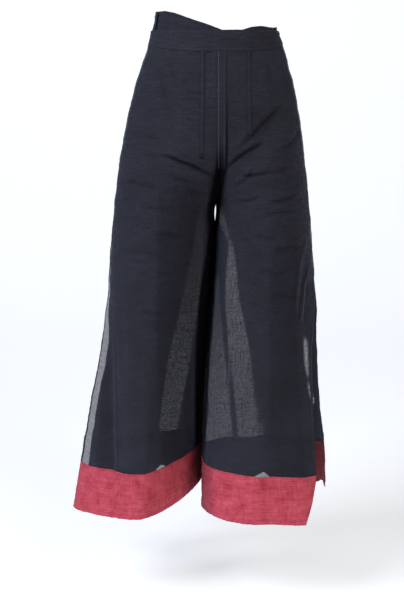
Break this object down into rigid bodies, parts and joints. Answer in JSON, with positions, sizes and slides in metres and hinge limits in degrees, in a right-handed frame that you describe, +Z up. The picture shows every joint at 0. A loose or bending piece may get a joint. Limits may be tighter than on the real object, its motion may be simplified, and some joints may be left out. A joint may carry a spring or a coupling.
{
  "type": "wrap pants",
  "caption": "Wide-legged wrap trousers in sheer dark cotton voile with open sides, contrasting hem bands and a tied waist, in their worn shape.",
  "frame": {"origin": "middle of the waist, at the height of the front waistband's top edge, where the wearer's waist holds the trousers", "axes": "+Z up, -Y is the front, +X is the wearer's left"},
  "size_m": [0.4968, 0.3538, 0.9623],
  "materials": {
    "voile": "sheer navy-black cotton voile, matte, finely crinkled",
    "hem_cotton": "crimson cotton, matte, mottled crinkle"
  },
  "bodies": {
    "root": {"right_front_leg": "voile", "left_front_leg": "voile", "right_back_leg": "voile", "left_back_leg": "voile", "right_front_hem_band": "hem_cotton", "left_front_hem_band": "hem_cotton", "right_back_hem_band": "hem_cotton", "left_back_hem_band": "hem_cotton", "right_front_side_hem": "voile", "left_front_side_hem": "voile", "right_back_side_hem": "voile", "left_back_side_hem": "voile", "front_waistband": "voile", "back_waistband": "voile", "right_back_tie": "voile", "left_back_tie": "voile", "right_front_tie": "voile", "left_front_tie": "voile", "tie_knot": "voile", "right_tie_tail": "voile", "left_tie_tail": "voile", "centre_front_placket": "voile", "right_front_tuck": "voile", "left_front_tuck": "voile"}
  },
  "joints": []
}
